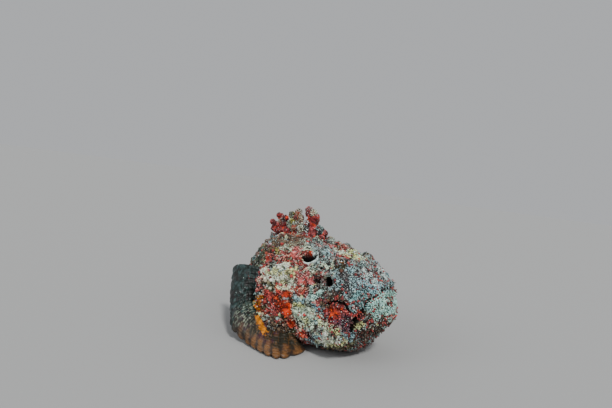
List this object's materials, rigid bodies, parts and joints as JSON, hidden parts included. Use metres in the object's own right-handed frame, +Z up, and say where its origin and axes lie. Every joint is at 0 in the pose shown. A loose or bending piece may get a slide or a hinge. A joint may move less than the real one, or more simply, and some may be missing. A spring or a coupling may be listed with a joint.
{
  "type": "stonefish",
  "caption": "Life-size reef stonefish resting on its belly, head raised in a lumpy crusted dome, mouth shut, spiny crest up, both pectoral fins spread as skirts and the tail curled to its left.",
  "frame": {"origin": "middle of the footprint, on the floor that the belly and the pectoral fins rest on", "axes": "+X towards the snout, +Y towards the fish's left, +Z up"},
  "size_m": [0.2934, 0.2332, 0.1535],
  "materials": {
    "skin": "matt, granular skin under patches of red, pink, orange, cream and grey crust",
    "jaw": "matt, granular skin with pale greenish and dark red crust",
    "fin": "fleshy fin skin, slightly moist, mottled teal and brown with an orange edge",
    "crest": "matt, lumpy sheaths in red, pink and cream",
    "eye": "wet eyeball with a dark pupil"
  },
  "bodies": {
    "root": {"head": "skin", "trunk": "skin", "tail_stalk": "skin", "lower_jaw": "jaw", "left_eye": "eye", "right_eye": "eye", "spiny_dorsal_fin": "crest", "soft_dorsal_fin": "fin", "tail_fin": "fin", "anal_fin": "fin", "left_pectoral_fin": "fin", "right_pectoral_fin": "fin", "left_pelvic_fin": "fin", "right_pelvic_fin": "fin"}
  },
  "joints": []
}
